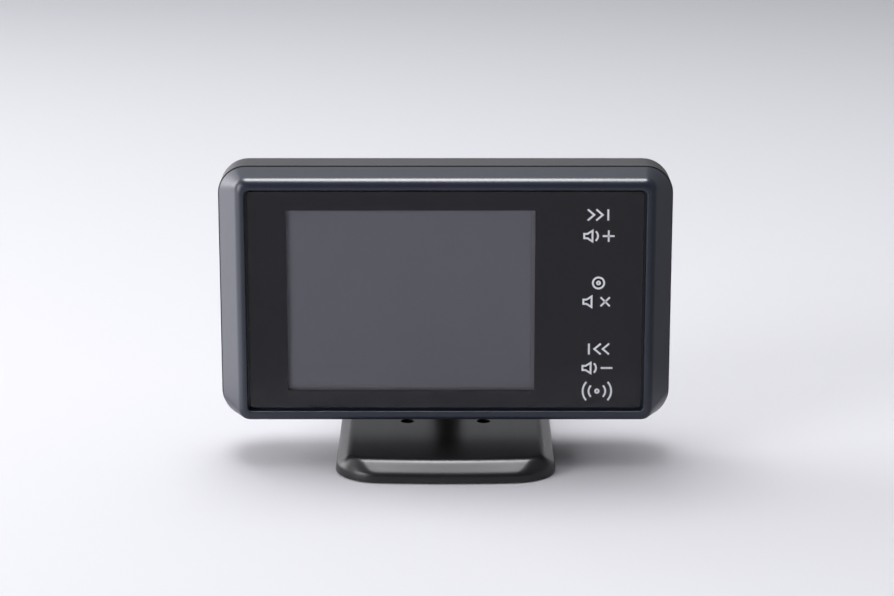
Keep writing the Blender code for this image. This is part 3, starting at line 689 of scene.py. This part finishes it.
def stroke(bm, points, width, depth):
    """Adds a printed line with mitred corners; it closes up when its first point is also its last."""
    closed = points[0] == points[-1]
    nodes = [Vector(p) for p in (points[:-1] if closed else points)]
    count = len(nodes)
    edges = []
    for index, node in enumerate(nodes):
        before = nodes[index - 1] if closed or index else None
        after = nodes[(index + 1) % count] if closed or index < count - 1 else None
        into = (node - before).normalized() if before is not None else (after - node).normalized()
        out = (after - node).normalized() if after is not None else into
        across = Vector((-(into.y + out.y), into.x + out.x)).normalized()
        reach = width / 2 / max(0.35, across.dot(Vector((-into.y, into.x))))
        end = Vector((0, 0))
        if not closed and index == 0:
            end = -out * width / 2
        elif not closed and index == count - 1:
            end = into * width / 2
        edges.append((node + end + across * reach, node + end - across * reach))
    rows = []
    for y in depth:
        rows.append([[bm.verts.new((p.x, y, p.y)) for p in pair] for pair in edges])
    front, back = rows
    segments = range(count) if closed else range(count - 1)
    for i in segments:
        j = (i + 1) % count
        bm.faces.new((front[i][0], front[j][0], front[j][1], front[i][1]))
        bm.faces.new((back[i][0], back[i][1], back[j][1], back[j][0]))
        for side in (0, 1):
            bm.faces.new((front[i][side], back[i][side], back[j][side], front[j][side]))
    if not closed:
        for i in (0, count - 1):
            bm.faces.new((front[i][0], front[i][1], back[i][1], back[i][0]))


def arc_points(x, z, radius, start, end, steps=12):
    """Points along an arc between two angles in degrees."""
    angles = [math.radians(start + (end - start) * i / steps) for i in range(steps + 1)]
    return [(x + radius * math.cos(a), z + radius * math.sin(a)) for a in angles]


def ring_points(x, z, radius, steps=24):
    """Points round a circle, ending at exactly the first one."""
    points = arc_points(x, z, radius, 0, 360, steps)
    return points[:-1] + [points[0]]


def chevrons(centre, facing):
    """Two arrow heads and a bar: step to the next or the previous item."""
    lines = []
    for start in (-2.6, -0.9):
        lines.append([(centre + facing * start, 1.0), (centre + facing * (start + 1.15), 0.0)])
        lines[-1].append((centre + facing * start, -1.0))
    lines.append([(centre + facing * 1.35, 0.95), (centre + facing * 1.35, -0.95)])
    return lines


def key_marks():
    """Generic key symbols in the column beside the display, and a plain signal symbol below them."""
    speaker = [(-3.0, 0.45), (-2.35, 0.45), (-1.35, 1.1), (-1.35, -1.1), (-2.35, -0.45), (-3.0, -0.45)]
    speaker.append(speaker[0])
    wave = arc_points(-1.5, 0.0, 1.25, -42, 42, 8)
    waves = [arc_points(0.0, 0.0, r, t - 38, t + 38, 8) for r in (1.7, 2.9) for t in (0, 180)]
    rows = {
        "mark_next": (17.6, chevrons(0.4, 1)),
        "mark_louder": (13.25, [speaker, wave, [(0.9, 0), (2.9, 0)], [(1.9, 1.0), (1.9, -1.0)]]),
        "mark_select": (3.55, [ring_points(0, 0, 1.15), ring_points(0, 0, 0.3, 12)]),
        "mark_mute": (-0.35, [speaker, [(0.6, 0.8), (2.2, -0.8)], [(0.6, -0.8), (2.2, 0.8)]]),
        "mark_back": (-10.25, chevrons(-0.4, -1)),
        "mark_softer": (-14.25, [speaker, wave, [(0.9, 0), (2.9, 0)]]),
        "mark_signal": (-19.15, waves + [ring_points(0, 0, 0.36, 12)]),
    }
    for name, (z, lines) in rows.items():
        bm = bmesh.new()
        for points in lines:
            stroke(bm, [(KEY_X + x, z + dz) for x, dz in points], KEY_LINE, KEY_Y)
        link(name, mesh_from(name, bm, HEAD), "head", LOOKS["legend"])


# ------------------------------------------------------------------------- stand
def base_ring(z, inset, rise=0.0, steps=18):
    """The base's outline, bowed at the front; rise runs from the wide lower corners to the tight top ones."""
    half_x = BASE_HALF[0] - inset
    half_y = BASE_HALF[1] - inset
    corner_x = (BASE_CORNER[0] - inset * 0.6) * (1 - rise) + BASE_TOP_CORNER * rise
    corner_y = (BASE_CORNER[1] - inset * 0.6) * (1 - rise) + BASE_TOP_CORNER * rise
    points = []
    for sign_x, sign_y, start in ((1, 1, 0), (-1, 1, 90), (-1, -1, 180), (1, -1, 270)):
        for step in range(steps + 1):
            angle = math.radians(start + 90 * step / steps)
            x = sign_x * (half_x - corner_x) + corner_x * math.cos(angle)
            y = sign_y * (half_y - corner_y) + corner_y * math.sin(angle)
            points.append((x, y))
        if sign_x < 0 and sign_y < 0:
            reach = half_x - corner_x
            points += [(-reach + 2 * reach * i / 16, -half_y) for i in range(1, 16)]
    ring = []
    for x, y in points:
        forward = max(0.0, -y / half_y) ** 6
        ring.append((x, y + BASE_BOW * forward * (x / half_x) ** 2, z))
    return ring


def base_shell():
    """The base's moulding: upright side, soft edge, sloping shoulder and a flat top with two fixing holes."""
    profile = [
        (0.15, 0.3, 0.0),
        (0.19, 0.17, 0.0),
        (0.3, 0.07, 0.0),
        (0.5, 0.05, 0.0),
        (1.1, 0.11, 0.0),
        (1.55, 0.17, 0.0),
        (1.78, 0.23, 0.01),
        (1.97, 0.33, 0.04),
        (2.14, 0.46, 0.08),
        (2.32, 0.63, 0.14),
        (2.52, 0.84, 0.22),
        (2.95, 1.3, 0.4),
        (3.4, 1.78, 0.58),
        (3.75, 2.15, 0.72),
        (3.95, 2.38, 0.8),
        (4.12, 2.62, 0.88),
        (4.26, 2.88, 0.94),
        (4.35, 3.17, 0.98),
        (4.39, 3.45, 1.0),
        (4.4, 3.75, 1.0),
        (4.4, 4.4, 1.0),
    ]
    solid = mesh_from("base_shell", loft([base_ring(*level) for level in profile]), sharp=50)
    tools = []
    for x in (-BASE_HOLE_X, BASE_HOLE_X):
        hole = [(0, 6), (1.45, 6), (1.45, 4.4), (1.4, 4.3), (1.4, 1.0), (0, 1.0)]
        tools.append(("DIFFERENCE", turned(hole, 40, (x, BASE_HOLE_Y))))
    pocket = [base_ring(z, 1.3, 0.0, 6) for z in (-1.0, 1.15)]
    tools.append(("DIFFERENCE", loft(pocket)))
    mesh = carve(solid, Vector((0, 0, 0)), tools)
    mesh.set_sharp_from_angle(angle=math.radians(50))
    return flat_faces(link("base_shell", mesh, "stand", LOOKS["stand"], ["stand_base"]))


def neck_post():
    """The upright neck, flared at its foot."""
    foot = 4.7
    profile = [(0, 23.5), (2.6, 23.5), (3.05, 23.35), (3.25, 22.9), (3.25, 9.4)]
    for step in range(1, 10):
        angle = math.radians(78 * step / 9)
        profile.append((5.55 - 2.3 * math.cos(angle), 8.9 - 3.2 * math.sin(angle)))
    profile += [(5.6, 5.6), (5.7, 5.4), (5.7, foot + 0.1), (5.6, foot), (0, foot)]
    mesh = mesh_from("neck_post", turned(profile, 72), Vector((0, BALL.y, 0)), 40)
    return flat_faces(link("neck_post", mesh, "stand", LOOKS["stand"], ["stand_neck"]))


def socket_bracket():
    """The ball socket with its web and the hanger that the head slides onto."""
    profile = [(0, SOCKET_Z[1]), (4.2, SOCKET_Z[1])]
    for step in range(7):
        angle = math.radians(90 - 90 * step / 6)
        radius = SOCKET_RADIUS - SOCKET_ROUND + SOCKET_ROUND * math.cos(angle)
        profile.append((radius, SOCKET_Z[1] - SOCKET_ROUND + SOCKET_ROUND * math.sin(angle)))
    profile += [(SOCKET_RADIUS, SOCKET_Z[0]), (0, SOCKET_Z[0])]
    solid = mesh_from("socket_bracket", turned(profile, 64), BALL)
    shift = (HEAD - BALL) / MM
    hanger_z = [z + shift.z for z in HANGER_Z]
    hanger_y = [y + shift.y for y in HANGER_Y]
    middle = (hanger_z[0] + hanger_z[1]) / 2
    half = (HANGER_HALF_X, (hanger_z[1] - hanger_z[0]) / 2)
    hanger = loft([ring_at(y, half, 1.5, 8, (0, middle)) for y in hanger_y])
    web_y = (hanger_y[1] - 0.5, WEB_BACK_Y + shift.y)
    web = block((-WEB_HALF_X, WEB_HALF_X), web_y, (hanger_z[0], WEB_TOP_Z + shift.z))
    cavity = [(0, CAVITY_RADIUS)]
    for step in range(12):
        angle = math.radians(84 - 80 * step / 11)
        cavity.append((CAVITY_RADIUS * math.cos(angle), CAVITY_RADIUS * math.sin(angle)))
    cavity += [(6.1, 0.3), (6.1, -7), (0, -7)]
    tools = [("UNION", hanger), ("UNION", web), ("DIFFERENCE", turned(cavity, 48))]
    mesh = carve(solid, BALL, tools)
    mesh.set_sharp_from_angle(angle=math.radians(35))
    piece = link("socket_bracket", mesh, "bracket", LOOKS["stand"], ["mount_bracket"])
    return soften(piece, 0.3, 3)


def ring_nut():
    """The lock nut: a ring with ten finger flutes, and fine ribs between them."""
    steps = 240
    bm = bmesh.new()
    heights = [(-1.5, 0.55), (-1.62, 0.2), (-1.85, 0.0), (-7.65, 0.0), (-7.88, 0.2), (-8.0, 0.55)]
    layers = []
    for height, inset in heights:
        layer = []
        for i in range(steps):
            angle = 2 * math.pi * i / steps
            turn = (NUT_FLUTES * angle / (2 * math.pi)) % 1.0
            dip = 0.62 * math.exp(-(((turn - 0.5) / 0.13) ** 2))
            rib = 0.07 * max(0.0, math.sin(angle * NUT_RIBS)) if abs(turn - 0.5) > 0.25 else 0.0
            radius = NUT_RADIUS - dip + rib - inset
            layer.append(bm.verts.new((radius * math.cos(angle), radius * math.sin(angle), height)))
        layers.append(layer)
    inside = ((6.3, -8.0), (6.2, -7.9), (5.0, -5.4), (7.2, -5.4), (7.2, -1.6), (7.3, -1.5))
    for radius, height in inside:
        ring = [2 * math.pi * i / steps for i in range(steps)]
        layers.append([bm.verts.new((radius * math.cos(a), radius * math.sin(a), height)) for a in ring])
    for lower, upper in zip(layers, layers[1:] + layers[:1]):
        for i in range(steps):
            j = (i + 1) % steps
            bm.faces.new((lower[i], lower[j], upper[j], upper[i]))
    mesh = mesh_from("ring_nut", bm, BALL, 40)
    return flat_faces(link("ring_nut", mesh, "nut", LOOKS["stand"], ["lock_nut"]))


# --------------------------------------------------------- carried-over CAD nodes
CAD_LOOKS = {
    "glass_tape": ("foam", 0.0),
    "touch_key_film": ("film", 0.0),
    "lcd_panel": ("lcd_rim", 0.05),
    "lcd_backlight": ("white", 0.1),
    "lcd_flex": ("film", 0.0),
    "main_board": ("board", 0.05),
    "processor_shield": ("tin", 0.1),
    "backup_cell": ("tin", 0.2),
    "gps_patch_antenna": ("ceramic", 0.1),
    "horn_antenna": ("cast", 0.25),
    "speaker_basket": ("tin", 0.08),
    "speaker_cone": ("paper", 0.05),
    "speaker_magnet": ("cast", 0.15),
    "laser_window": ("filter", 0.12),
    "laser_sensor": ("case", 0.15),
    "power_jack": ("case", 0.2),
    "option_jack": ("case", 0.2),
    "card_socket": ("tin", 0.1),
    "memory_card": ("case", 0.12),
    "power_switch_body": ("tin", 0.12),
    "power_switch_knob": ("case", 0.08),
    "case_screw_lower_left": ("screw", 0.06),
    "case_screw_upper_left": ("screw", 0.06),
    "case_screw_lower_right": ("screw", 0.06),
    "case_screw_upper_right": ("screw", 0.06),
    "base_pad": ("foam", 0.1),
    "neck_screw": ("screw", 0.06),
    "ball_stud": ("chrome", 0.0),
    "ball_seat": ("white", 0.1),
}


def finish_cad_nodes():
    """Materials for the nodes that stay, and a small round on their edges."""
    for name, (look, edge) in CAD_LOOKS.items():
        node = NODES[name]
        node.data.materials.clear()
        node.data.materials.append(LOOKS[look])
        weld = node.modifiers.new("weld", "WELD")
        weld.merge_threshold = 0.000002
        node.data.shade_smooth()
        if edge:
            soften(node, edge, 2, 40)
        else:
            flat_faces(node)


# ------------------------------------------------------------ floor, light, camera
SOFT_WHITE = (0.965, 0.965, 1.0)


def floor():
    """A plain pale floor with painted shade that darkens it with distance in place of the lamps' falloff, and
    a fine grain.
    """
    look = Look("pale_floor")
    place = look.node("ShaderNodeSeparateXYZ")
    look.wire(look.coordinates.outputs["Object"], place.inputs["Vector"])
    painted_falloff = look.node("ShaderNodeMapRange")
    painted_falloff.inputs["From Min"].default_value = 0.05
    painted_falloff.inputs["From Max"].default_value = 0.75
    look.wire(place.outputs["Y"], painted_falloff.inputs["Value"])
    # Painted shade: the colour darkens from near to far, standing in for light falling off with distance.
    look.set("Base Color", look.mix(painted_falloff.outputs["Result"], (0.85, 0.84, 0.86), (0.565, 0.565, 0.585)))
    look.set("Roughness", 0.75)
    look.set("Specular IOR Level", 0.0)
    look.set("Normal", look.bump(look.noise(900.0, 3.0), 0.01))
    bm = bmesh.new()
    bmesh.ops.create_grid(bm, x_segments=1, y_segments=1, size=6.0)
    mesh = bpy.data.meshes.new("floor")
    bm.to_mesh(mesh)
    bm.free()
    made = bpy.data.objects.new("floor", mesh)
    mesh.materials.append(look.material)
    bpy.context.scene.collection.objects.link(made)


def softbox(name, place, aim, size, watts, reflection_only=False):
    """A rectangular lamp; one for reflections only shows in glossy surfaces and lights nothing."""
    data = bpy.data.lights.new(name, "AREA")
    data.shape = "RECTANGLE"
    data.size, data.size_y = size
    data.energy = watts
    data.color = SOFT_WHITE
    made = bpy.data.objects.new(name, data)
    made.location = place
    direction = Vector(aim) - Vector(place)
    made.rotation_euler = direction.to_track_quat("-Z", "Y").to_euler()
    made.visible_diffuse = not reflection_only
    bpy.context.scene.collection.objects.link(made)


def card(name, corners, level):
    """A flat card of even brightness that only reflections see."""
    look = Look(name)
    look.set("Base Color", (0.0, 0.0, 0.0))
    look.set("Specular IOR Level", 0.0)
    look.set("Emission Color", (0.95, 0.95, 1.0))
    look.set("Emission Strength", level)
    bm = bmesh.new()
    bm.faces.new([bm.verts.new(corner) for corner in corners])
    mesh = bpy.data.meshes.new(name)
    bm.to_mesh(mesh)
    bm.free()
    mesh.materials.append(look.material)
    made = bpy.data.objects.new(name, mesh)
    made.visible_camera = False
    made.visible_diffuse = False
    made.visible_shadow = False
    bpy.context.scene.collection.objects.link(made)


def room_light():
    """A dim room, brightest high up behind the object and dark in front."""
    world = bpy.data.worlds.new("studio")
    world.use_nodes = True
    tree = world.node_tree
    background = tree.nodes["Background"]
    direction = tree.nodes.new("ShaderNodeTexCoord")
    dot = tree.nodes.new("ShaderNodeVectorMath")
    dot.operation = "DOT_PRODUCT"
    dot.inputs[1].default_value = (-0.15, 0.45, 0.85)
    tree.links.new(direction.outputs["Generated"], dot.inputs[0])
    share = tree.nodes.new("ShaderNodeMapRange")
    share.inputs["From Min"].default_value = -0.45
    share.inputs["From Max"].default_value = 0.9
    tree.links.new(dot.outputs["Value"], share.inputs["Value"])
    curve = tree.nodes.new("ShaderNodeMath")
    curve.operation = "POWER"
    curve.inputs[1].default_value = 3.0
    tree.links.new(share.outputs["Result"], curve.inputs[0])
    level = tree.nodes.new("ShaderNodeMapRange")
    level.inputs["To Min"].default_value = 0.05
    level.inputs["To Max"].default_value = 0.75
    tree.links.new(curve.outputs["Value"], level.inputs["Value"])
    tree.links.new(level.outputs["Result"], background.inputs["Strength"])
    background.inputs["Color"].default_value = (0.93, 0.95, 1.0, 1.0)
    bpy.context.scene.world = world


def studio():
    """A soft box overhead, two low ones at the left, and boxes and cards that only reflections see."""
    softbox("overhead", (-0.12, 0.24, 0.96), (-0.1, 0.13, 0.0), (0.5, 0.6), 4.5)
    softbox("overhead_core", (0.0, 0.04, 0.9), (0.0, 0.03, 0.0), (0.36, 0.5), 11.2, True)
    softbox("left_low", (-0.85, 0.4, 0.34), (0.0, 0.0, 0.03), (0.56, 0.56), 4.8)
    softbox("front_left", (-0.8, -0.65, 0.3), (0.0, 0.0, 0.035), (0.5, 0.5), 6.3)
    softbox("left_card", (-0.075, 0.03, 0.051), (0.0, 0.03, 0.051), (0.16, 0.1), 0.062, True)
    upright = ((-0.06, 0.001), (0.25, 0.001), (0.25, 0.25), (-0.06, 0.25))
    card("right_card", [(0.075, y, z) for y, z in upright], 0.3)
    lying = ((-0.2, -0.07), (0.2, -0.07), (0.2, -0.6), (-0.2, -0.6))
    card("front_card", [(x, y, 0.001) for x, y in lying], 0.68)
    room_light()


def camera():
    """Long lens, level sideways, looking down at the head from in front."""
    elevation = math.radians(VIEW_ELEVATION)
    target = Vector((0.0, HEAD.y, HEAD.z)) + VIEW_SHIFT
    back = Vector((0.0, -math.cos(elevation), math.sin(elevation)))
    data = bpy.data.cameras.new("camera")
    data.sensor_width = 36.0
    data.lens = VIEW_LENS
    data.clip_start = 0.01
    data.clip_end = 20.0
    made = bpy.data.objects.new("camera", data)
    made.location = target + back * VIEW_DISTANCE
    made.rotation_euler = (-back).to_track_quat("-Z", "Y").to_euler()
    bpy.context.scene.collection.objects.link(made)
    bpy.context.scene.camera = made


bezel_shell()
rear_shell()
front_glass()
display()
key_marks()
base_shell()
neck_post()
socket_bracket()
ring_nut()
finish_cad_nodes()
floor()
studio()
camera()
bpy.context.scene.view_settings.view_transform = "Standard"
bpy.context.scene.cycles.use_denoising = True
